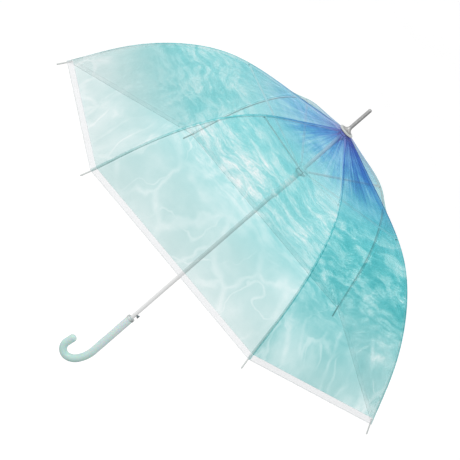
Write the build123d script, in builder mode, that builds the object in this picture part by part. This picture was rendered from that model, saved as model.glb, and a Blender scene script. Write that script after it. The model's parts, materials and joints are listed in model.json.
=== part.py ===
from build123d import *
from math import atan2, cos, degrees, hypot, radians, sin
import os

os.makedirs("parts", exist_ok=True)

# ---- driving dimensions, millimetres; Z is the shaft axis, Z = 0 the middle of the grip ----
RIBS = 6
RIB_STEP = 360 / RIBS
RIM_R = 475              # hem corner radius
RIM_Z = 300              # height of the hem corners
FILM_T = 1.0             # film body thickness
FILM_GAP = 0.3           # slit between neighbouring film bodies

SHAFT_R = 4.0
SHAFT_BORE_R = 3.4
SHAFT_BOTTOM = 6
SHAFT_TOP = 651

HUB_R = 14.5             # radius of the top notch and of the runner flange
PIVOT_R = 12.0           # wire rings' distance from the shaft axis
TOP_PIVOT_Z = 637.0
ELBOW_R = 227.0          # pivot where a stretcher meets its rib
ELBOW_Z = 581.7
RUNNER_PIVOT_Z = 2 * ELBOW_Z - TOP_PIVOT_Z
FOLD_DEG = 71
LINK = hypot(ELBOW_R - PIVOT_R, TOP_PIVOT_Z - ELBOW_Z)
LINK_DEG = degrees(atan2(TOP_PIVOT_Z - ELBOW_Z, ELBOW_R - PIVOT_R))
RUNNER_TRAVEL = 2 * LINK * (sin(radians(LINK_DEG + FOLD_DEG)) - sin(radians(LINK_DEG)))

WIRE_R = 0.6             # ring wires
EYE_R = 1.6              # eye plate round a ring wire
EYE_HOLE_R = 0.65
TONGUE_HALF = 0.6        # half thickness of an eye plate
SLOT_HALF = 0.9          # half width of the slots in the notch and the runner
HUB_BELOW = 5            # hub flange reaches this far below its pivots
ELBOW_EYE_R = 2.0
ELBOW_PIN_R = 0.8
ELBOW_HOLE_R = 0.84

RIB_TOP_DROP = 2.1       # rib channel, below the film's outer face
RIB_BOTTOM_DROP = 4.9
RIB_HALF = 1.3
STRETCHER_HALF = 2.0
STRETCHER_WALL = 0.6
STRETCHER_H = 3.0
TIP_R = 1.5
TIP_DEG = 60             # slope of the rib tips, below the horizontal
TIP_OUT = 22
TIP_DROP = 4.1           # tip axis below the film's outer face, where it leaves the rib

GRIP_R = 8.0
GRIP_TOP = 56
COLLAR_TOP = 62
COLLAR_R = 8.6
BUTTON_Z = 73
BUTTON_STEM_R = 2.1
BUTTON_HEAD_R = 3.5
BUTTON_STOP_R = 2.35
RUNNER_R = 6.0
RUNNER_BORE_R = 4.05
RUNNER_BOTTOM = 449
PIN_Z = 509              # drive pin in the runner
PIN_R = 1.0
SPRING_SLOT = 2.4        # width of the drive pin's slot in the shaft
SEAT_Z = 84              # bottom of the spring seat
CROWN_Z = 644.3          # outer washer sits on the film here
WASHER_R = 16.5
WASHER_T = 3
INNER_WASHER_R = 13
INNER_WASHER_T = 0.8
INNER_WASHER_Z = 641.8
FILM_HOLE_R = 14.5
FERRULE_Z = CROWN_Z + WASHER_T
FERRULE_TIP = 712
FERRULE_R = 3.85
FIT = 0.05               # clearance of a turned fit

# film section in the plane of a rib, as fractions of the rim radius, height above the rim
DOME = [
    (0.03, 0.724),
    (0.24, 0.669),
    (0.45, 0.612),
    (0.57, 0.560),
    (0.73, 0.434),
    (0.885, 0.229),
    (1, 0),
]
CROWN_SLOPE = 14.5
RIM_SLOPE = 63.5


def slope(angle):
    return (cos(radians(angle)), -sin(radians(angle)))


film_curve = Spline(
    *[(r * RIM_R, RIM_Z + z * RIM_R) for r, z in DOME],
    tangents=[slope(CROWN_SLOPE), slope(RIM_SLOPE)],
)


def at_radius(radius):
    """Parameter of the film curve at a distance from the shaft axis."""
    low, high = 0.0, 1.0
    for _ in range(30):
        middle = (low + high) / 2
        if film_curve.position_at(middle).X < radius:
            low = middle
        else:
            high = middle
    return low


def under_film(r0, r1, drop, count=13):
    """Points that run below the film's outer face, by drop, from one radius to another."""
    u0, u1 = at_radius(r0), at_radius(r1)
    points = []
    for k in range(count):
        u = u0 + (u1 - u0) * k / (count - 1)
        p, t = film_curve.position_at(u), film_curve.tangent_at(u)
        points.append((p.X + t.Y * drop, p.Y - t.X * drop))
    return points


def band(r0, r1, drop0, drop1, squeeze=1.0):
    """Closed outline between two depths below the film, for use inside a BuildSketch."""
    upper = [(x * squeeze, z) for x, z in under_film(r0, r1, drop0)]
    lower = [(x * squeeze, z) for x, z in under_film(r0, r1, drop1)]
    with BuildLine() as outline:
        Spline(*upper)
        Line(upper[-1], lower[-1])
        Spline(*lower[::-1])
        Line(lower[0], upper[0])
    make_face(outline.edges())


def rib_plane(azimuth, offset=0.0):
    """Plane through the shaft axis at an azimuth: local x outward, local y up."""
    a = radians(azimuth)
    normal = (sin(a), -cos(a), 0)
    origin = (normal[0] * offset, normal[1] * offset, 0)
    return Plane(origin=origin, x_dir=(cos(a), sin(a), 0), z_dir=normal)


def save(part, name, azimuth=0):
    turned = part.rotate(Axis.Z, azimuth) if azimuth else part
    turned.label = name
    export_step(turned, f"parts/{name}.step")


# ---- shaft tube: spring slot on +Y, button hole on +X ----
with BuildPart() as shaft_tube:
    with BuildSketch(Plane.XY.offset(SHAFT_BOTTOM)):
        Circle(SHAFT_R)
        Circle(SHAFT_BORE_R, mode=Mode.SUBTRACT)
    extrude(amount=SHAFT_TOP - SHAFT_BOTTOM)
    slot_low, slot_high = PIN_Z - RUNNER_TRAVEL - 2, PIN_Z + 2
    with BuildSketch(Plane.XZ):
        with Locations((0, (slot_low + slot_high) / 2)):
            SlotOverall(slot_high - slot_low, SPRING_SLOT, rotation=90)
    extrude(amount=-SHAFT_R - 1, mode=Mode.SUBTRACT)
    with BuildSketch(Plane.YZ):
        with Locations((0, BUTTON_Z)):
            Circle(BUTTON_STEM_R + FIT)
    extrude(amount=SHAFT_R + 1, mode=Mode.SUBTRACT)
save(shaft_tube.part, "shaft_tube")

# ---- ferrule: flared skirt, slim spike with rings, rounded end ----
SKIRT_R = 11.5
SKIRT_H = 12
SKIRT_EDGE = 1.2
FLARE_R, FLARE_H = FERRULE_R + 1.9, 5
DOME_H = 2.5
DOME_R = (FERRULE_R**2 + DOME_H**2) / (2 * DOME_H)
RINGS = 4
RING_PITCH = 2.2
RING_TOP = 6             # first ring's distance from the tip
with BuildPart() as ferrule:
    with BuildSketch(Plane.XZ):
        with BuildLine():
            edge = (SKIRT_R, FERRULE_Z + SKIRT_EDGE)
            neck = (FERRULE_R, FERRULE_Z + SKIRT_H)
            shoulder = (FERRULE_R, FERRULE_TIP - DOME_H)
            socket = SHAFT_TOP + 4 * FIT
            Polyline((SHAFT_R, FERRULE_Z), (SKIRT_R, FERRULE_Z), edge)
            ThreePointArc(edge, (FLARE_R, FERRULE_Z + FLARE_H), neck)
            Line(neck, shoulder)
            RadiusArc(shoulder, (0, FERRULE_TIP), -DOME_R)
            Polyline((0, FERRULE_TIP), (0, socket), (SHAFT_R, socket), (SHAFT_R, FERRULE_Z))
        make_face()
    revolve(axis=Axis.Z)
    with BuildSketch(Plane.XZ):
        for k in range(RINGS):
            with Locations((FERRULE_R, FERRULE_TIP - RING_TOP - RING_PITCH * k)):
                Rectangle(0.5, 0.8)
    revolve(axis=Axis.Z, mode=Mode.SUBTRACT)
save(ferrule.part, "ferrule")

# ---- washers on both sides of the film at the crown ----
with BuildPart() as crown_washer:
    with BuildSketch(Plane.XY.offset(CROWN_Z)):
        Circle(WASHER_R)
        Circle(SHAFT_R, mode=Mode.SUBTRACT)
    extrude(amount=WASHER_T)
    top_edges = crown_washer.edges().filter_by(GeomType.CIRCLE).group_by(Axis.Z)[-1]
    fillet(top_edges.sort_by(SortBy.RADIUS)[-1], WASHER_T * 0.4)
save(crown_washer.part, "crown_washer")

with BuildPart() as inner_washer:
    with BuildSketch(Plane.XY.offset(INNER_WASHER_Z)):
        Circle(INNER_WASHER_R)
        Circle(SHAFT_R, mode=Mode.SUBTRACT)
    extrude(amount=INNER_WASHER_T)
save(inner_washer.part, "inner_washer")


def slotted_hub(pivot_z):
    """Cuts rib slots and the wire's groove out of the hub that is being built."""
    with BuildSketch(Plane.XY.offset(pivot_z - 20)) as slots:
        with PolarLocations(HUB_R + 1, RIBS):
            Rectangle(14, 2 * SLOT_HALF)
    extrude(slots.sketch, amount=40, mode=Mode.SUBTRACT)
    with BuildSketch(Plane.XZ) as groove:
        with Locations((PIVOT_R + 3, pivot_z)):
            Rectangle(7.8, 2 * WIRE_R + 0.1)
    revolve(groove.sketch, axis=Axis.Z, mode=Mode.SUBTRACT)


def ring_wire(pivot_z):
    """Hexagonal wire ring: each straight side is the hinge line of one rib or stretcher."""
    side = 2 * PIVOT_R * sin(radians(RIB_STEP / 2)) / cos(radians(RIB_STEP / 2))
    corner_r = PIVOT_R / cos(radians(RIB_STEP / 2))
    with BuildPart() as ring:
        for k in range(RIBS):
            a = radians(k * RIB_STEP)
            tangent = (-sin(a), cos(a), 0)
            middle = (PIVOT_R * cos(a), PIVOT_R * sin(a), pivot_z)
            with Locations(Plane(origin=middle, z_dir=tangent)):
                Cylinder(WIRE_R, side)
            b = radians((k + 0.5) * RIB_STEP)
            with Locations((corner_r * cos(b), corner_r * sin(b), pivot_z)):
                Sphere(WIRE_R)
    return ring.part


NOTCH_H = 9.6
NECK_R, NECK_H = 8, 6
with BuildPart() as top_notch:
    with BuildSketch(Plane.XY.offset(TOP_PIVOT_Z - HUB_BELOW)):
        Circle(HUB_R)
        Circle(SHAFT_R, mode=Mode.SUBTRACT)
    extrude(amount=NOTCH_H)
    with BuildSketch(Plane.XY.offset(TOP_PIVOT_Z - HUB_BELOW - NECK_H)):
        Circle(NECK_R)
        Circle(SHAFT_R, mode=Mode.SUBTRACT)
    extrude(amount=NECK_H)
    slotted_hub(TOP_PIVOT_Z)
save(top_notch.part, "top_notch")
save(ring_wire(TOP_PIVOT_Z), "top_notch_wire")

# ---- runner: long sleeve with finger ridges, cone and slotted flange ----
FLANGE_LOW = RUNNER_PIVOT_Z - HUB_BELOW
FLANGE_H = 10
CONE_H = 7
LIP = 0.8                # bead round the sleeve's lower end
RIDGES, RIDGE_PITCH, RIDGE_R = 6, 4, 0.9
RIDGE_LOW = 36           # first finger ridge above the sleeve's lower end
with BuildPart() as runner:
    with BuildSketch(Plane.XZ):
        with BuildLine():
            Polyline(
                (RUNNER_BORE_R, RUNNER_BOTTOM),
                (RUNNER_R + LIP, RUNNER_BOTTOM),
                (RUNNER_R + LIP, RUNNER_BOTTOM + 5),
                (RUNNER_R, RUNNER_BOTTOM + 7),
                (RUNNER_R, FLANGE_LOW - CONE_H),
                (HUB_R, FLANGE_LOW),
                (HUB_R, FLANGE_LOW + FLANGE_H),
                (RUNNER_BORE_R, FLANGE_LOW + FLANGE_H),
                close=True,
            )
        make_face()
        for k in range(RIDGES):
            with Locations((RUNNER_R, RUNNER_BOTTOM + RIDGE_LOW + RIDGE_PITCH * k)):
                Circle(RIDGE_R)
    revolve(axis=Axis.Z)
    slotted_hub(RUNNER_PIVOT_Z)
    with BuildSketch(Plane.XZ):
        with Locations((0, PIN_Z)):
            Circle(PIN_R)
    extrude(amount=-RUNNER_R - 1, mode=Mode.SUBTRACT)
save(runner.part, "runner")
save(ring_wire(RUNNER_PIVOT_Z), "runner_wire")

PIN_INSIDE = 2.5         # drive pin's end, inside the shaft
with BuildPart() as runner_pin:
    with BuildSketch(Plane.XZ.offset(PIN_INSIDE)):
        with Locations((0, PIN_Z)):
            Circle(PIN_R)
    extrude(amount=-PIN_INSIDE - RUNNER_R)
save(runner_pin.part, "runner_pin")

# ---- jump spring and its seat inside the tube ----
SEAT_H = 4
PILOT_R, PILOT_H = 1.4, 12
SPRING_LOW = SEAT_Z + SEAT_H + 0.5
SPRING_HIGH = PIN_Z - PIN_R - 0.5
SPRING_TURNS = 26
SPRING_R = 2.6
SPRING_WIRE_R = 0.4
with BuildPart() as spring_seat:
    with BuildSketch(Plane.XY.offset(SEAT_Z)):
        Circle(SHAFT_BORE_R)
    extrude(amount=SEAT_H)
    with BuildSketch(Plane.XY.offset(SEAT_Z)):
        Circle(PILOT_R)
    extrude(amount=PILOT_H)
save(spring_seat.part, "spring_seat")

with BuildPart() as jump_spring:
    with BuildLine() as coil:
        Helix(
            pitch=(SPRING_HIGH - SPRING_LOW) / SPRING_TURNS,
            height=SPRING_HIGH - SPRING_LOW,
            radius=SPRING_R,
            center=(0, 0, SPRING_LOW),
        )
    with BuildSketch(Plane(origin=coil.line @ 0, z_dir=coil.line % 0)):
        Circle(SPRING_WIRE_R)
    sweep(is_frenet=True)
save(jump_spring.part, "jump_spring")

# ---- release button and its leaf spring ----
with BuildPart() as release_button:
    with BuildSketch(Plane.YZ.offset(0.4)):
        with Locations((0, BUTTON_Z)):
            Circle(BUTTON_STOP_R)
    extrude(amount=0.7)
    with BuildSketch(Plane.YZ.offset(0.6)):
        with Locations((0, BUTTON_Z)):
            Circle(BUTTON_STEM_R)
    extrude(amount=6)
    with BuildSketch(Plane.YZ.offset(6.4)):
        with Locations((0, BUTTON_Z)):
            Circle(BUTTON_HEAD_R)
    extrude(amount=2.8)
    fillet(release_button.faces().sort_by(Axis.X)[-1].edges(), 1.1)
save(release_button.part, "release_button")

LEAF_HALF = 8            # half length of the leaf spring
LEAF_WIDE = 1.0          # half width
LEAF_T = 0.3
with BuildPart() as button_spring:
    with BuildSketch(Plane.XZ):
        with BuildLine():
            low, high = (-2.9, BUTTON_Z - LEAF_HALF), (-2.9, BUTTON_Z + LEAF_HALF)
            leaf = ThreePointArc(low, (0.2, BUTTON_Z), high)
            offset(leaf, amount=LEAF_T, side=Side.LEFT)
        make_face()
    extrude(amount=LEAF_WIDE, both=True)
save(button_spring.part, "button_spring")

# ---- crook handle: straight grip, easy bend, then a tight turn up to a short free end ----
CROOK_START = -42
EASY_R, EASY_DEG = 74, 30
MIDDLE_R, MIDDLE_DEG = 32, 38
TIGHT_R, TIGHT_DEG = 17, 120
FREE_END = 22
with BuildPart() as handle:
    with BuildLine(Plane.XZ):
        straight = Line((0, GRIP_TOP), (0, CROOK_START))
        easy = JernArc(straight @ 1, straight % 1, EASY_R, -EASY_DEG)
        middle = JernArc(easy @ 1, easy % 1, MIDDLE_R, -MIDDLE_DEG)
        tight = JernArc(middle @ 1, middle % 1, TIGHT_R, -TIGHT_DEG)
        end = Line(tight @ 1, (tight @ 1) + (tight % 1) * FREE_END)
    with BuildSketch(Plane.XY.offset(GRIP_TOP)):
        Circle(GRIP_R)
    sweep()
    cap = handle.faces().filter_by(GeomType.PLANE).sort_by(Axis.Z)[0]
    fillet(cap.edges(), GRIP_R - 1.5)
    with BuildSketch(Plane.XY.offset(SHAFT_BOTTOM - 1)):
        Circle(SHAFT_R)
    extrude(amount=GRIP_TOP, mode=Mode.SUBTRACT)
save(handle.part, "handle")

with BuildPart() as handle_collar:
    with BuildSketch(Plane.XY.offset(GRIP_TOP)):
        Circle(COLLAR_R)
        Circle(SHAFT_R, mode=Mode.SUBTRACT)
    extrude(amount=COLLAR_TOP - GRIP_TOP)
    rims = handle_collar.edges().filter_by(GeomType.CIRCLE).sort_by(SortBy.RADIUS)[-2:]
    fillet(rims, 0.8)
save(handle_collar.part, "handle_collar")

# ---- one arm: rib, outer rib, tip, pin, stretcher and film, made at azimuth 0 ----
SIDE = rib_plane(0)
ROOT_R = 26              # rib channel starts here, clear of the notch
ELBOW_IN = 214           # inner channel ends here
ELBOW_OUT = 236          # outer channel's web starts here
RIB_END = 470


def eye_plate(eye, toward, half, eye_r, width=2.4):
    """Flat plate from an eye round a pivot to a point on a channel."""
    with BuildSketch(SIDE) as plate:
        with Locations(eye):
            Circle(eye_r)
        with BuildLine() as outline:
            Polyline(
                (eye[0], eye[1] + eye_r),
                (toward[0], toward[1] + width / 2),
                (toward[0], toward[1] - width / 2),
                (eye[0], eye[1] - eye_r),
                close=True,
            )
        make_face(outline.edges())
    extrude(plate.sketch, amount=half, both=True)


def hole(eye, radius):
    with BuildSketch(SIDE) as circle:
        with Locations(eye):
            Circle(radius)
    extrude(circle.sketch, amount=10, both=True, mode=Mode.SUBTRACT)


def mid_channel(radius):
    """Middle of the rib channel's height at a radius."""
    return under_film(radius, radius + 1, (RIB_TOP_DROP + RIB_BOTTOM_DROP) / 2, 2)[0]


top_pivot = (PIVOT_R, TOP_PIVOT_Z)
elbow = (ELBOW_R, ELBOW_Z)
runner_pivot = (PIVOT_R, RUNNER_PIVOT_Z)

with BuildPart() as rib:
    with BuildSketch(SIDE):
        band(ROOT_R, ELBOW_IN, RIB_TOP_DROP, RIB_BOTTOM_DROP)
    extrude(amount=RIB_HALF, both=True)
    with BuildSketch(SIDE):
        band(ROOT_R + 4, ELBOW_IN - 4, RIB_TOP_DROP + 0.5, RIB_BOTTOM_DROP + 1)
    extrude(amount=RIB_HALF - 0.5, both=True, mode=Mode.SUBTRACT)
    eye_plate(top_pivot, mid_channel(ROOT_R + 3), TONGUE_HALF, EYE_R)
    hole(top_pivot, EYE_HOLE_R)
    eye_plate(elbow, mid_channel(ELBOW_IN - 3), 0.5, ELBOW_EYE_R)
    hole(elbow, ELBOW_HOLE_R)

with BuildPart() as rib_outer:
    with BuildSketch(SIDE):
        band(ELBOW_R + 4, RIB_END, RIB_TOP_DROP, RIB_BOTTOM_DROP)
        with Locations(elbow):
            Circle(ELBOW_EYE_R)
        with BuildLine():
            Polyline(
                (ELBOW_R - 0.5, ELBOW_Z + ELBOW_EYE_R - 0.2),
                (ELBOW_R + 9, mid_channel(ELBOW_R + 9)[1]),
                (ELBOW_R + 7, mid_channel(ELBOW_R + 7)[1] - 1.5),
                (ELBOW_R, ELBOW_Z - ELBOW_EYE_R),
                close=True,
            )
        make_face()
    extrude(amount=RIB_HALF, both=True)
    with BuildSketch(SIDE):
        with Locations((ELBOW_R - 1, ELBOW_Z)):
            Rectangle(2 * (ELBOW_OUT - ELBOW_R), 24)
    extrude(amount=TONGUE_HALF, both=True, mode=Mode.SUBTRACT)
    with BuildSketch(SIDE):
        band(ELBOW_OUT - 4, RIB_END - 12, RIB_TOP_DROP + 0.5, RIB_BOTTOM_DROP + 1)
    extrude(amount=RIB_HALF - 0.6, both=True, mode=Mode.SUBTRACT)
    hole(elbow, ELBOW_PIN_R)

tip_start = under_film(RIB_END, RIB_END + 1, TIP_DROP, 2)[0]
tip_length = (RIM_R - RIB_END) / cos(radians(RIM_SLOPE)) + TIP_OUT
tip_dir = slope(TIP_DEG)
tip_plane = Plane(
    origin=(tip_start[0], 0, tip_start[1]),
    x_dir=(0, 1, 0),
    z_dir=(tip_dir[0], 0, tip_dir[1]),
)
with BuildPart() as rib_tip:
    with BuildSketch(tip_plane):
        Circle(TIP_R)
    extrude(amount=tip_length)
    fillet(rib_tip.faces().sort_by(Axis.Z)[0].edges(), TIP_R - 0.15)
    with BuildSketch(SIDE):
        band(RIB_END - 10, RIB_END, RIB_TOP_DROP - 1, RIB_BOTTOM_DROP + 1)
    extrude(amount=4, both=True, mode=Mode.SUBTRACT)

with BuildPart() as rib_pin:
    with BuildSketch(SIDE.offset(-2.1)):
        with Locations(elbow):
            Circle(ELBOW_PIN_R)
    extrude(amount=4.2)
    for side in (1, -1):
        with BuildSketch(SIDE.offset(side * 2.1)):
            with Locations(elbow):
                Circle(1.5)
        extrude(amount=side * 0.5)

STRETCHER_END = 13       # channel stops this far from the runner pivot
with BuildPart() as stretcher:
    run_plane = Plane(
        origin=(ELBOW_R, 0, ELBOW_Z),
        x_dir=(PIVOT_R - ELBOW_R, 0, RUNNER_PIVOT_Z - ELBOW_Z),
        z_dir=(0, 1, 0),
    )
    with BuildSketch(run_plane):
        with Locations(((LINK - STRETCHER_END) / 2, 0)):
            Rectangle(LINK - STRETCHER_END, STRETCHER_H)
        with Locations((0, 0)):
            Circle(ELBOW_EYE_R)
    extrude(amount=STRETCHER_HALF, both=True)
    with BuildSketch(run_plane):
        with Locations((0, 0)):
            Rectangle(24, 12)
    extrude(amount=STRETCHER_HALF - STRETCHER_WALL, both=True, mode=Mode.SUBTRACT)
    with BuildSketch(run_plane):
        with Locations((LINK / 2 - 7.5, STRETCHER_WALL)):
            Rectangle(LINK - 20, STRETCHER_H)
    extrude(amount=STRETCHER_HALF - STRETCHER_WALL, both=True, mode=Mode.SUBTRACT)
    with BuildSketch(run_plane):
        with Locations((LINK - 9, 0)):
            Rectangle(18, 2.4)
        with Locations((LINK, 0)):
            Circle(EYE_R)
    extrude(amount=TONGUE_HALF, both=True)
    hole(elbow, ELBOW_HOLE_R)
    hole(runner_pivot, EYE_HOLE_R)


def half_gore(r0, r1, side):
    """Film from a rib to the middle of one gore: a single-curved sheet with level chords."""
    a = radians(side * RIB_STEP / 2)
    gore = Plane(origin=(0, 0, 0), x_dir=(cos(a), sin(a), 0), z_dir=(sin(a), -cos(a), 0))
    apex = FILM_GAP / 2 / sin(radians(RIB_STEP / 2))
    far = 2 * RIM_R
    with BuildPart() as half:
        with BuildSketch(gore):
            band(r0, r1, 0, FILM_T, cos(a))
        extrude(amount=RIM_R, both=True)
        with BuildSketch():
            with BuildLine():
                Polyline((apex, 0), (far, 0), (apex + far * cos(a), far * sin(a)), close=True)
            make_face()
        extrude(amount=TOP_PIVOT_Z + 50, mode=Mode.INTERSECT)
    return half.part


def film(r0, r1):
    """Both half gores beside a rib, joined along it."""
    with BuildPart() as sheet:
        add(half_gore(r0, r1, 1))
        add(half_gore(r0, r1, -1))
    return sheet.part


film_inner = film(FILM_HOLE_R, ELBOW_R - FILM_GAP / 2)
film_outer = film(ELBOW_R + FILM_GAP / 2, RIM_R)

for k in range(RIBS):
    azimuth = k * RIB_STEP
    n = k + 1
    save(rib.part, f"rib_{n}", azimuth)
    save(rib_outer.part, f"rib_outer_{n}", azimuth)
    save(rib_tip.part, f"rib_tip_{n}", azimuth)
    save(rib_pin.part, f"rib_pin_{n}", azimuth)
    save(stretcher.part, f"stretcher_{n}", azimuth)
    save(film_inner, f"film_inner_{n}", azimuth)
    save(film_outer, f"film_outer_{n}", azimuth)
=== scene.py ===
import json
from math import cos, pi, radians, sin

import bpy
import numpy as np
from mathutils import Matrix, Vector


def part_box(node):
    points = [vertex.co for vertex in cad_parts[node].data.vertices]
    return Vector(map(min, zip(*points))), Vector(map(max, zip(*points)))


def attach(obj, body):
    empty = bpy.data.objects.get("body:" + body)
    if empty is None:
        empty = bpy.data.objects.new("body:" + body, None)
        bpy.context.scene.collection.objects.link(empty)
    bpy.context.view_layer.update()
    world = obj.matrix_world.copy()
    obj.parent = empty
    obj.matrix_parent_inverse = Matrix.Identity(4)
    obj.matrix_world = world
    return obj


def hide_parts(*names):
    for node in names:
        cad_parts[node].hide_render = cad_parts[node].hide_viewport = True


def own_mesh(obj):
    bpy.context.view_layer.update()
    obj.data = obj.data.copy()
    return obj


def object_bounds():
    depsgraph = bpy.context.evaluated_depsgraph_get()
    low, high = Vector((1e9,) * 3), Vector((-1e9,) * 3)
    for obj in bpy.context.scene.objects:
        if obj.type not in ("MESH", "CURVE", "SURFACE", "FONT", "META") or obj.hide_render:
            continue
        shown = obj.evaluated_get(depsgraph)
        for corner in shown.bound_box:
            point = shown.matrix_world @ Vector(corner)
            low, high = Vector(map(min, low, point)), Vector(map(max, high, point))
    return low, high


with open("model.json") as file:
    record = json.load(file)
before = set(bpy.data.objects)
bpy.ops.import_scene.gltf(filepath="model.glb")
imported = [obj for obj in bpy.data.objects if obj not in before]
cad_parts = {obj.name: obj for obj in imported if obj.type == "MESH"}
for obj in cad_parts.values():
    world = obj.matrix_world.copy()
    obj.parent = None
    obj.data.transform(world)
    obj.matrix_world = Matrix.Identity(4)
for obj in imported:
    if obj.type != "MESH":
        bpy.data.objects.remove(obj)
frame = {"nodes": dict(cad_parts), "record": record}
cad_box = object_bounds()

# ---- sizes, in metres, worked out from the frame ----
RIBS = 6
STEP = 2 * pi / RIBS
RIM_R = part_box("film_outer_1")[1].x
RIM_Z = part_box("film_outer_1")[0].z
ELBOW_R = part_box("film_inner_1")[1].x
HALF_COS = cos(STEP / 2)
SKIN = 0.0002            # the film lies this far inside the CAD film's outer face
HEM = 0.013              # width of the milky band at the rim
HEM_OVERLAP = 0.0008     # the hem starts this far up the film
HEM_LINE = 0.0018        # width of the denser line along its edge
SEAM = 0.0045            # half width of the welded seam along a rib
RIM_GAP = 0.0005         # the film ends this far inside the CAD film's rim
CROWN_HOLE = 0.0145      # radius of the film's hole under the crown washer
SAG = 0.0055             # deepest dip of the film between two ribs
HEM_LIFT, LINE_LIFT, SEAM_LIFT = 0.0001, 0.00018, 0.00015    # heights of the strips above the film

# dome section in a rib's plane, as fractions of the rim radius
DOME_R = np.array([0.03, 0.24, 0.45, 0.57, 0.73, 0.885, 1.0])
DOME_Z = np.array([0.724, 0.669, 0.612, 0.560, 0.434, 0.229, 0.0])
CROWN_SLOPE = radians(14.5)
RIM_SLOPE = radians(63.5)


def clamped_spline(t, y, first, last):
    """Second derivatives of the cubic spline through y with the given end slopes."""
    n = len(t)
    h = np.diff(t)
    m = np.zeros((n, n))
    b = np.zeros(n)
    m[0, :2] = 2 * h[0], h[0]
    b[0] = 6 * ((y[1] - y[0]) / h[0] - first)
    m[-1, -2:] = h[-1], 2 * h[-1]
    b[-1] = 6 * (last - (y[-1] - y[-2]) / h[-1])
    for k in range(1, n - 1):
        m[k, k - 1:k + 2] = h[k - 1], 2 * (h[k - 1] + h[k]), h[k]
        b[k] = 6 * ((y[k + 1] - y[k]) / h[k] - (y[k] - y[k - 1]) / h[k - 1])
    return np.linalg.solve(m, b)


def spline_value(t, y, bend, x):
    k = np.clip(np.searchsorted(t, x) - 1, 0, len(t) - 2)
    h = t[k + 1] - t[k]
    a, b = (t[k + 1] - x) / h, (x - t[k]) / h
    return a * y[k] + b * y[k + 1] + ((a**3 - a) * bend[k] + (b**3 - b) * bend[k + 1]) * h * h / 6


def dome_line():
    """Dense points of the dome section: distance along it from the crown, radius and height."""
    r, z = DOME_R * RIM_R, RIM_Z + DOME_Z * RIM_R
    t = np.concatenate([[0], np.cumsum(np.hypot(np.diff(r), np.diff(z)))])
    bend_r = clamped_spline(t, r, cos(CROWN_SLOPE), cos(RIM_SLOPE))
    bend_z = clamped_spline(t, z, -sin(CROWN_SLOPE), -sin(RIM_SLOPE))
    x = np.linspace(0, t[-1], 800)
    rr, zz = spline_value(t, r, bend_r, x), spline_value(t, z, bend_z, x)
    s = np.concatenate([[0], np.cumsum(np.hypot(np.diff(rr), np.diff(zz)))])
    return s, rr, zz


ARC, ARC_R, ARC_Z = dome_line()
ARC_END = ARC[-1]
S_CROWN = float(np.interp(CROWN_HOLE, ARC_R, ARC))
S_ELBOW = float(np.interp(ELBOW_R, ARC_R, ARC))
S_HEM = ARC_END - HEM


def section(s):
    """Radius, height and the outward normal (radial, up) at arc lengths s."""
    r, z = np.interp(s, ARC, ARC_R), np.interp(s, ARC, ARC_Z)
    e = 0.004
    dr = np.interp(s + e, ARC, ARC_R) - np.interp(s - e, ARC, ARC_R)
    dz = np.interp(s + e, ARC, ARC_Z) - np.interp(s - e, ARC, ARC_Z)
    size = np.hypot(dr, dz)
    return r, z, -dz / size, dr / size


def sag(s, v):
    """How far the film dips inwards between two ribs; v runs from 0 at a rib to 1 at mid gore."""
    along = np.clip((s - S_CROWN) / (ARC_END - S_CROWN), 0, 1)
    return SAG * np.sin(pi * along**0.8) * (1 - (1 - v) ** 2)


def gore_points(rib, side, s, v, lift=0.0):
    """Points of the film beside a rib: side is +1 or -1, v from 0 at the rib to 1 at mid gore."""
    r, z, nr, nz = section(s)
    rib_a = rib * STEP
    mid_a = rib_a + side * STEP / 2
    mid = np.array([cos(mid_a), sin(mid_a)])
    chord = np.array([-sin(mid_a), cos(mid_a)]) * side
    out = r * HALF_COS
    across = -(1 - v) * r * sin(STEP / 2)
    depth = lift - SKIN - sag(s, v)
    out = out + nr * depth
    height = z + nz * depth
    xy = out[:, None] * mid + across[:, None] * chord
    return np.column_stack([xy, height])


# ---- mesh helpers ----
def collection_link(obj):
    bpy.context.scene.collection.objects.link(obj)
    return obj


def grid_object(name, points, nu, nv, material, flip=False):
    """A sheet from points in nu rows of nv."""
    faces = []
    for i in range(nu - 1):
        for j in range(nv - 1):
            a = i * nv + j
            quad = (a, a + nv, a + nv + 1, a + 1)
            faces.append(quad[::-1] if flip else quad)
    mesh = bpy.data.meshes.new(name)
    mesh.from_pydata([tuple(p) for p in points], [], faces)
    mesh.materials.append(material)
    for polygon in mesh.polygons:
        polygon.use_smooth = True
    return collection_link(bpy.data.objects.new(name, mesh))


def set_vector(mesh, name, values):
    attribute = mesh.attributes.new(name, "FLOAT_VECTOR", "POINT")
    attribute.data.foreach_set("vector", np.asarray(values, np.float32).ravel())


def shade_normals(mesh, normals):
    mesh.normals_split_custom_set_from_vertices([tuple(n) for n in normals])


# ---- materials ----
def new_material(name):
    material = bpy.data.materials.new(name)
    material.use_nodes = True
    tree = material.node_tree
    tree.nodes.clear()
    output = tree.nodes.new("ShaderNodeOutputMaterial")
    return material, tree, output


def node(tree, kind, **inputs):
    """A node with its inputs set by name, or by number as i0, i1: values directly, sockets as links."""
    made = tree.nodes.new(kind)
    for key, value in inputs.items():
        numbered = key[0] == "i" and key[1:].isdigit()
        socket = made.inputs[int(key[1:]) if numbered else key.replace("_", " ")]
        if isinstance(value, bpy.types.NodeSocket):
            tree.links.new(value, socket)
        else:
            socket.default_value = value
    return made


def math(tree, operation, a, b=0.0, c=0.0, clamp=False):
    made = node(tree, "ShaderNodeMath", i0=a, i1=b, i2=c)
    made.operation = operation
    made.use_clamp = clamp
    return made.outputs[0]


def remap(tree, value, low, high, to_low=0.0, to_high=1.0):
    made = node(
        tree, "ShaderNodeMapRange", Value=value,
        From_Min=low, From_Max=high, To_Min=to_low, To_Max=to_high,
    )
    made.interpolation_type = "SMOOTHSTEP"
    return made.outputs[0]


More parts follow.
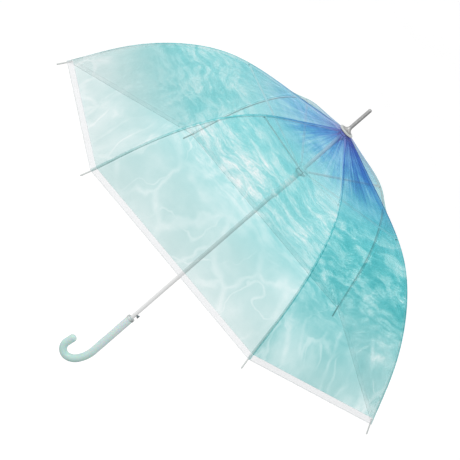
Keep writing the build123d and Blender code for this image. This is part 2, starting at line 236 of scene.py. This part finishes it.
def ramp(tree, value, stops):
    made = node(tree, "ShaderNodeValToRGB", Fac=value)
    elements = made.color_ramp.elements
    while len(elements) < len(stops):
        elements.new(0.5)
    for element, (position, colour) in zip(elements, stops):
        element.position = position
        element.color = (*colour, 1)
    return made.outputs[0]


def noise(tree, vector, scale, detail=2.0, rough=0.5, distortion=0.0):
    made = node(
        tree, "ShaderNodeTexNoise", Vector=vector, Scale=scale,
        Detail=detail, Roughness=rough, Distortion=distortion,
    )
    return made.outputs[0]


def solid(
    name, colour, roughness, metallic=0.0, vary=0.05, grain=900.0, bump=0.02, patches=40.0, **extra,
):
    """A hard finish: mottled colour, uneven gloss and a fine grain."""
    material, tree, output = new_material(name)
    place = node(tree, "ShaderNodeTexCoord").outputs["Object"]
    soft = noise(tree, place, patches, 3.0, 0.6)
    fine = noise(tree, place, grain, 2.0)
    dark = tuple(c * (1 - vary) for c in colour)
    light = tuple(min(1.0, c * (1 + vary)) for c in colour)
    tint = ramp(tree, soft, [(0.3, dark), (0.7, light)])
    rough = remap(tree, soft, 0.3, 0.7, roughness * 0.75, roughness * 1.25)
    relief = node(tree, "ShaderNodeBump", Height=fine, Strength=bump, Distance=0.001)
    shader = node(
        tree, "ShaderNodeBsdfPrincipled", Base_Color=tint, Roughness=rough,
        Metallic=metallic, Normal=relief.outputs[0], **extra,
    )
    tree.links.new(shader.outputs[0], output.inputs[0])
    return material


# colour one layer of film lets through, from the crown to the rim
PRINT = [
    (0.00, (0.220, 0.200, 0.560)),
    (0.04, (0.190, 0.310, 0.720)),
    (0.12, (0.200, 0.440, 0.790)),
    (0.20, (0.250, 0.550, 0.800)),
    (0.27, (0.330, 0.660, 0.810)),
    (0.37, (0.370, 0.765, 0.815)),
    (0.48, (0.370, 0.785, 0.810)),
    (0.61, (0.380, 0.770, 0.790)),
    (0.70, (0.465, 0.770, 0.780)),
    (0.81, (0.575, 0.782, 0.782)),
    (1.00, (0.672, 0.792, 0.787)),
]
GLOSS_TINT = (0.86, 0.97, 0.97, 1.0)
GLOSS_FACING, GLOSS_AT_EDGE = 0.03, 0.32    # share of light mirrored face on, and added edge on


def ridge(tree, value, width):
    """Thin lines where a noise crosses its middle value."""
    off = math(tree, "ABSOLUTE", math(tree, "SUBTRACT", value, 0.5))
    return remap(tree, off, width, 0.0)


def total_of(tree, terms):
    result = terms[0]
    for term in terms[1:]:
        result = math(tree, "ADD", result, term)
    return result


def product_of(tree, *terms):
    result = terms[0]
    for term in terms[1:]:
        result = math(tree, "MULTIPLY", result, term)
    return result


def printed_film(name, strength=1.0, milk=0.05):
    """Clear film with a water print: the tint is a density that ripples and net lines thin out."""
    material, tree, output = new_material(name)
    print_co = node(tree, "ShaderNodeAttribute")
    print_co.attribute_name = "print_co"
    parts = node(tree, "ShaderNodeSeparateXYZ", Vector=print_co.outputs["Vector"])
    x, s, gore = parts.outputs
    facts = node(tree, "ShaderNodeAttribute")
    facts.attribute_name = "print_facts"
    fact = node(tree, "ShaderNodeSeparateXYZ", Vector=facts.outputs["Vector"])
    gore_density, share = fact.outputs[0], fact.outputs[1]

    far_gore = math(tree, "MULTIPLY", gore, 7.3)
    plain = node(tree, "ShaderNodeCombineXYZ", X=x, Y=s, Z=far_gore).outputs[0]
    drift = noise(tree, plain, 7.0, 2.0, 0.5)
    bent_s = math(tree, "MULTIPLY_ADD", drift, 0.07, s)
    stretched = node(
        tree, "ShaderNodeCombineXYZ",
        X=math(tree, "MULTIPLY", x, 12.0), Y=math(tree, "MULTIPLY", bent_s, 46.0), Z=far_gore,
    ).outputs[0]
    fan = math(tree, "DIVIDE", x, math(tree, "MAXIMUM", s, 0.02))
    rays = node(
        tree, "ShaderNodeCombineXYZ",
        X=math(tree, "MULTIPLY", fan, 7.0), Y=math(tree, "MULTIPLY", s, 4.0), Z=far_gore,
    ).outputs[0]

    # water surface: veils and threads of light lying along the gore, in patches
    veil = noise(tree, stretched, 1.3, 4.0, 0.6, 0.4)
    thread = noise(tree, stretched, 2.6, 3.0, 0.55, 1.2)
    patch = noise(tree, plain, 8.0, 2.0, 0.5)
    band = product_of(tree, remap(tree, share, 0.32, 0.46), remap(tree, share, 0.78, 0.60))
    ripple = product_of(tree, remap(tree, veil, 0.38, 0.64, 0.28, -0.38), band)
    threads = product_of(
        tree, ridge(tree, thread, 0.05), remap(tree, patch, 0.38, 0.60), band, -0.38,
    )
    # a few long wandering lines of light towards the rim
    warp = noise(tree, plain, 11.0, 3.0, 0.55)
    warped = node(
        tree, "ShaderNodeCombineXYZ",
        X=math(tree, "MULTIPLY_ADD", warp, 0.12, math(tree, "MULTIPLY", x, 1.4)),
        Y=math(tree, "MULTIPLY_ADD", warp, 0.10, s),
        Z=math(tree, "ADD", far_gore, 3.1),
    ).outputs[0]
    cells = node(tree, "ShaderNodeTexVoronoi", Vector=warped, Scale=8.0)
    cells.feature = "DISTANCE_TO_EDGE"
    broad = remap(tree, cells.outputs["Distance"], 0.10, 0.0)
    fine_line = ridge(tree, noise(tree, warped, 7.0, 1.0, 0.5), 0.016)
    lines = math(tree, "MULTIPLY", math(tree, "MAXIMUM", broad, fine_line), 0.8)
    net = product_of(
        tree, lines, remap(tree, patch, 0.40, 0.60), remap(tree, share, 0.48, 0.68, 0.0, -0.42),
    )
    # brushed rays below the crown
    brush = noise(tree, rays, 1.6, 4.0, 0.6)
    crown = remap(tree, share, 0.38, 0.20)
    brushed = product_of(tree, remap(tree, brush, 0.35, 0.65, -0.25, 0.35), crown)
    mottle = remap(tree, noise(tree, plain, 6.5, 4.0, 0.6), 0.3, 0.7, -0.32, 0.30)
    change = total_of(tree, [ripple, threads, net, brushed, mottle])
    density = product_of(tree, math(tree, "ADD", 1.0, change), gore_density, strength)
    density = math(tree, "MAXIMUM", density, 0.05)

    fringe = noise(tree, rays, 4.0, 4.0, 0.7)
    jag = product_of(tree, math(tree, "SUBTRACT", fringe, 0.5), crown, 0.40)
    colour = ramp(tree, math(tree, "MAXIMUM", math(tree, "ADD", share, jag), 0.0), PRINT)
    tint = node(tree, "ShaderNodeGamma", Color=colour, Gamma=density).outputs[0]
    crease = noise(tree, plain, 9.0, 2.0)
    relief = node(tree, "ShaderNodeBump", Height=crease, Strength=0.2, Distance=0.004)
    clear = node(tree, "ShaderNodeBsdfTransparent", Color=tint)
    bumps = relief.outputs[0]
    body = node(tree, "ShaderNodeBsdfPrincipled", Base_Color=tint, Roughness=0.25, Normal=bumps)
    film = node(tree, "ShaderNodeMixShader", i0=milk, i1=clear.outputs[0], i2=body.outputs[0])
    gloss = node(tree, "ShaderNodeBsdfGlossy", Color=GLOSS_TINT, Roughness=0.07, Normal=bumps)
    edge_on = node(tree, "ShaderNodeLayerWeight", Blend=0.5, Normal=bumps).outputs["Facing"]
    shine = math(tree, "MULTIPLY_ADD", math(tree, "POWER", edge_on, 5.0), GLOSS_AT_EDGE, GLOSS_FACING)
    mixed = node(tree, "ShaderNodeMixShader", i0=shine, i1=film.outputs[0], i2=gloss.outputs[0])
    tree.links.new(mixed.outputs[0], output.inputs[0])
    return material


def milky_film(name, colour, cover):
    """Unprinted matt band: a cloudy, slightly uneven white."""
    material, tree, output = new_material(name)
    place = node(tree, "ShaderNodeTexCoord").outputs["Object"]
    cloud = noise(tree, place, 60.0, 3.0, 0.6)
    tint = ramp(tree, cloud, [(0.3, tuple(c * 0.96 for c in colour)), (0.7, colour)])
    clear = node(tree, "ShaderNodeBsdfTransparent", Color=(*colour, 1))
    relief = node(tree, "ShaderNodeBump", Height=cloud, Strength=0.1, Distance=0.001)
    bumps = relief.outputs[0]
    body = node(tree, "ShaderNodeBsdfPrincipled", Base_Color=tint, Roughness=0.4, Normal=bumps)
    cover_here = remap(tree, cloud, 0.3, 0.7, cover * 0.94, cover * 1.06)
    film = node(tree, "ShaderNodeMixShader", i0=cover_here, i1=clear.outputs[0], i2=body.outputs[0])
    tree.links.new(film.outputs[0], output.inputs[0])
    return material


film_material = printed_film("printed_film")
seam_material = printed_film("welded_seam", strength=0.8, milk=0.05)
# band and edge line of the hem, on the near gores and on the paler far ones
MILKY_HEM = (
    milky_film("hem_film", (0.90, 0.91, 0.92), 0.32),
    milky_film("hem_edge", (0.88, 0.90, 0.905), 0.36),
)
CLEAR_HEM = (
    milky_film("clear_hem", (0.95, 0.965, 0.965), 0.14),
    milky_film("clear_hem_edge", (0.90, 0.93, 0.93), 0.18),
)
MATERIALS = {
    "frame_white": solid("white_lacquer", (0.82, 0.83, 0.825), 0.28, vary=0.03, Coat_Weight=0.4),
    "white_plastic": solid("white_plastic", (0.60, 0.635, 0.625), 0.35, vary=0.03, bump=0.04),
    # painted light: brighter copies of the white plastic and the white lacquer for the parts under the
    # film, standing in for light inside the canopy
    "painted_light_plastic": solid("painted_light_plastic", (0.90, 0.92, 0.915), 0.35, vary=0.03, bump=0.04),
    "painted_light_lacquer": solid("painted_light_lacquer", (0.93, 0.945, 0.94), 0.28, vary=0.03, Coat_Weight=0.4),
    "chrome": solid("chrome", (0.66, 0.70, 0.69), 0.10, 1.0, vary=0.06),
    "nickel": solid("nickel", (0.46, 0.46, 0.455), 0.24, 1.0, vary=0.12, patches=160.0),
    "dark_metal": solid("dark_metal", (0.20, 0.21, 0.22), 0.30, 1.0, vary=0.12),
    "steel": solid("steel_wire", (0.52, 0.53, 0.55), 0.25, 1.0, vary=0.10),
}


def handle_material():
    """Pale mint plastic that is greener towards the hook and lets a little light in."""
    material, tree, output = new_material("mint_plastic")
    place = node(tree, "ShaderNodeTexCoord").outputs["Object"]
    height = node(tree, "ShaderNodeSeparateXYZ", Vector=place).outputs[2]
    lo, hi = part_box("handle")
    cloud = noise(tree, place, 55.0, 3.0, 0.6)
    level = math(tree, "MULTIPLY_ADD", cloud, 0.12, remap(tree, height, lo.z, hi.z, 0.0, 0.88))
    tint = ramp(tree, level, [
        (0.0, (0.51, 0.755, 0.705)),
        (0.35, (0.61, 0.80, 0.78)),
        (0.7, (0.65, 0.80, 0.795)),
        (1.0, (0.71, 0.81, 0.81)),
    ])
    fine = noise(tree, place, 700.0)
    relief = node(tree, "ShaderNodeBump", Height=fine, Strength=0.02, Distance=0.001)
    rough = remap(tree, cloud, 0.3, 0.7, 0.16, 0.26)
    shader = node(
        tree, "ShaderNodeBsdfPrincipled", Base_Color=tint, Roughness=rough, Normal=relief.outputs[0],
        Subsurface_Weight=0.25, Subsurface_Scale=0.006, Coat_Weight=0.5, Coat_Roughness=0.08,
    )
    tree.links.new(shader.outputs[0], output.inputs[0])
    return material


MATERIALS["mint_plastic"] = handle_material()

# ---- CAD nodes keep their shape and get the finished materials ----
SLOTS = {part["node"]: part["material_slot"] for part in frame["record"]["subparts"]}
# painted light: parts under the film get a brighter white than the same slot outside it, to lift them out
# of the shade inside the canopy
SLOTS.update({name: "painted_light_plastic" for name in ("runner", "top_notch", "inner_washer")})
for number in range(1, RIBS + 1):
    SLOTS.update({f"{wire}_{number}": "painted_light_lacquer" for wire in ("stretcher", "rib", "rib_outer")})
for name, obj in frame["nodes"].items():
    if SLOTS[name] in MATERIALS:
        obj.data.materials.clear()
        obj.data.materials.append(MATERIALS[SLOTS[name]])
        for polygon in obj.data.polygons:
            polygon.material_index = 0

# ---- film ----
# density of the print below the crown, half way and at the rim, for the gore after each rib;
# the first three are on the far side of the photo
FAR_DENSITY = (0.46, 0.50, 0.18)
GORE_DENSITY = [FAR_DENSITY] * 3 + [(0.62, 0.98, 0.98), (1.02, 1.06, 1.06), (1.60, 1.66, 1.42)]
DENSITY_AT = (0.30, 0.60, 0.92)    # shares of the way from the crown to the rim
DEEP_GORE = 5                      # the gore whose print stays turquoise further down
TURQUOISE_FROM, TURQUOISE_SHIFT = 0.6, 0.16


def gore_number(rib, side):
    return (rib if side > 0 else rib - 1) % RIBS


def film_facts(rib, side, s, v):
    """Print coordinates (across, down, gore number) and print facts (density, share of the way, v)."""
    gore = gore_number(rib, side)
    r = section(s)[0]
    across = -side * (1 - v) * r * sin(STEP / 2)
    share = (s - S_CROWN) / (ARC_END - S_CROWN)
    density = np.interp(share, DENSITY_AT, GORE_DENSITY[gore])
    if gore == DEEP_GORE:
        share = share - TURQUOISE_SHIFT * np.clip((share - TURQUOISE_FROM) / (1 - TURQUOISE_FROM), 0, 1)
    facts = np.column_stack([density, share, v])
    return np.column_stack([across, s, np.full(len(s), float(gore))]), facts


def film_normals(rib, side, s, v, lift):
    """True normals of the dome's film, so that neighbouring sheets shade alike."""
    ds, dv = 0.002, 0.02
    below = gore_points(rib, side, np.minimum(s + ds, ARC_END), v, lift)
    down = below - gore_points(rib, side, s - ds, v, lift)
    beside = gore_points(rib, side, s, np.minimum(v + dv, 1), lift)
    across = beside - gore_points(rib, side, s, v - dv, lift)
    normals = np.cross(down, across) * side
    return normals / np.linalg.norm(normals, axis=1)[:, None]


def sheet_piece(name, rib, side, s0, s1, share, nu, nv, material, lift=0.0):
    """An open sheet between two distances down the gore, from the rib to a share of the half gore."""
    s = np.repeat(np.linspace(s0, s1, nu), nv)
    v = np.tile(np.linspace(0, share, nv), nu)
    points = gore_points(rib, side, s, v, lift)
    obj = grid_object(name, points, nu, nv, material, flip=side < 0)
    obj.visible_shadow = False
    obj.visible_diffuse = False
    coords, facts = film_facts(rib, side, s, v)
    set_vector(obj.data, "print_co", coords)
    set_vector(obj.data, "print_facts", facts)
    shade_normals(obj.data, film_normals(rib, side, s, v, lift))
    return obj


def half_width(s):
    """Width of the flat half gore at one distance down it."""
    return float(section(np.array([s]))[0][0]) * sin(STEP / 2)


def fold_with(obj):
    """Gives a film piece a mesh of its own."""
    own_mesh(obj)


def settle(sheet, body):
    """A film piece moves with its rib."""
    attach(sheet, body)


def hem_strips(rib, side, tag, s1, body):
    """The milky band at the rim and the denser line along its edge."""
    band, line = MILKY_HEM if GORE_DENSITY[gore_number(rib, side)] != FAR_DENSITY else CLEAR_HEM
    end = f"{rib + 1}{tag}"
    hem = sheet_piece(f"hem_{end}", rib, side, S_HEM - HEM_OVERLAP, s1, 1, 5, ACROSS, band, HEM_LIFT)
    edge = sheet_piece(f"hem_edge_{end}", rib, side, s1 - HEM_LINE, s1, 1, 3, ACROSS, line, LINE_LIFT)
    for strip in (hem, edge):
        settle(strip, body)
        fold_with(strip)
    return [hem, edge]


def half_gore(rib, side, tag, part, s0, s1, body, rows):
    """The film on one side of a rib, above or below the elbow."""
    outer = part == "outer"
    name = f"canopy_{part}_{rib + 1}{tag}"
    film = sheet_piece(name, rib, side, s0, S_HEM if outer else s1, 1, rows, ACROSS, film_material)
    settle(film, body)
    fold_with(film)
    hem_strips(rib, side, tag, s1, body) if outer else []
    return film


def seam(rib, side, tag, part, s0, s1, body, rows):
    """The welded strip that holds the film along a rib."""
    name = f"seam_{part}_{rib + 1}{tag}"
    strip = sheet_piece(name, rib, side, s0, s1, SEAM / half_width(s1), rows, 3, seam_material, SEAM_LIFT)
    settle(strip, body)


ACROSS = 24                                     # columns of a film sheet
SIDES = ((1, "a"), (-1, "b"))                   # the half gore after a rib and the one before it
PARTS = (
    ("inner", S_CROWN, S_ELBOW, "rib", 22),
    ("outer", S_ELBOW, ARC_END - RIM_GAP, "outer", 46),
)
for rib in range(RIBS):
    for part, s0, s1, arm, rows in PARTS:
        body = f"{arm}_{rib + 1}"
        films = [half_gore(rib, side, tag, part, s0, s1, body, rows) for side, tag in SIDES]
        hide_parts(f"film_{part}_{rib + 1}")
        for side, tag in SIDES:
            seam(rib, side, tag, part, s0, s1, body, rows)

# ---- floor, light, camera ----
lo, hi = cad_box
FLOOR_HALF, FLOOR_DROP = 30.0, 0.35    # half its side, and how far it lies below the umbrella


def floor():
    material, tree, output = new_material("pale_floor")
    place = node(tree, "ShaderNodeTexCoord").outputs["Object"]
    cloud = noise(tree, place, 3.0)
    tint = ramp(tree, cloud, [(0.3, (0.93, 0.93, 0.93)), (0.7, (0.95, 0.95, 0.95))])
    shader = node(
        tree, "ShaderNodeBsdfPrincipled", Base_Color=tint, Roughness=0.9,
        Emission_Color=(1, 1, 1, 1), Emission_Strength=0.15,
    )
    tree.links.new(shader.outputs[0], output.inputs[0])
    half, z = FLOOR_HALF, lo.z - FLOOR_DROP
    corners = [(-half, -half, z), (half, -half, z), (half, half, z), (-half, half, z)]
    mesh = bpy.data.meshes.new("floor")
    mesh.from_pydata(corners, [], [(0, 1, 2, 3)])
    mesh.materials.append(material)
    obj = collection_link(bpy.data.objects.new("floor", mesh))
    obj.visible_diffuse = False
    obj.visible_glossy = False


def area_light(name, place, target, size, power):
    data = bpy.data.lights.new(name, "AREA")
    data.energy = power
    data.size = size
    obj = collection_link(bpy.data.objects.new(name, data))
    obj.location = place
    obj.rotation_mode = "QUATERNION"
    obj.rotation_quaternion = (Vector(target) - Vector(place)).to_track_quat("-Z", "Y")
    return obj


AMBIENT = 0.72            # mean brightness of the sky as a lamp
SIDE_LIGHT = 0.40         # how much brighter it is on the lit side
MIRRORED = 0.74           # the same for what glossy faces reflect
SIDE_MIRRORED = 0.48
LIT_SIDE = Vector((-0.55, -0.45, 0.70)).normalized()


def studio():
    world = bpy.data.worlds.new("studio")
    world.use_nodes = True
    tree = world.node_tree
    background = tree.nodes["Background"]
    background.inputs[0].default_value = (1, 1, 1, 1)
    seen = node(tree, "ShaderNodeLightPath")
    direction = node(tree, "ShaderNodeTexCoord").outputs["Generated"]
    toward = node(tree, "ShaderNodeVectorMath", i0=direction, i1=LIT_SIDE)
    toward.operation = "DOT_PRODUCT"
    sky = math(tree, "MULTIPLY_ADD", toward.outputs["Value"], SIDE_LIGHT, AMBIENT)
    mirrored = math(tree, "MULTIPLY_ADD", toward.outputs["Value"], SIDE_MIRRORED, MIRRORED)
    lamp = node(tree, "ShaderNodeMapRange", Value=seen.outputs["Is Glossy Ray"], i3=sky, i4=mirrored)
    is_camera = seen.outputs["Is Camera Ray"]
    strength = node(tree, "ShaderNodeMapRange", Value=is_camera, i3=lamp.outputs[0], i4=1.0)
    tree.links.new(strength.outputs[0], background.inputs[1])
    bpy.context.scene.world = world
    centre = (0, 0, (lo.z + hi.z) / 2)
    area_light("key", (-2.2, -2.6, 2.8), centre, 1.6, 20)
    rim = area_light("rim", (2.6, 0.8, 1.6), centre, 0.8, 10)
    rim.visible_glossy = False


VIEW_AZIMUTH, VIEW_ELEVATION, VIEW_ROLL = radians(4.1), radians(13.9), radians(49.05)
LENS, SENSOR = 400.0, 36.0
DISTANCE = 10.2
AIM_OFFSET = Vector((-0.0040, 0.0078, 0.0327))


def camera():
    data = bpy.data.cameras.new("camera")
    data.lens = LENS
    data.sensor_width = SENSOR
    data.clip_end = 100
    obj = collection_link(bpy.data.objects.new("camera", data))
    back = Vector((
        sin(VIEW_AZIMUTH) * cos(VIEW_ELEVATION),
        -cos(VIEW_AZIMUTH) * cos(VIEW_ELEVATION),
        sin(VIEW_ELEVATION),
    ))
    right0 = Vector((0, 0, 1)).cross(back).normalized()
    up0 = back.cross(right0)
    right = right0 * cos(VIEW_ROLL) + up0 * sin(VIEW_ROLL)
    up = up0 * cos(VIEW_ROLL) - right0 * sin(VIEW_ROLL)
    turn = Matrix((right, up, back)).transposed().to_4x4()
    aim = Vector((0, 0, RIM_Z)) + AIM_OFFSET
    obj.matrix_world = Matrix.Translation(aim + back * DISTANCE) @ turn
    bpy.context.scene.camera = obj


floor()
studio()
camera()
bpy.context.scene.view_settings.view_transform = "Standard"
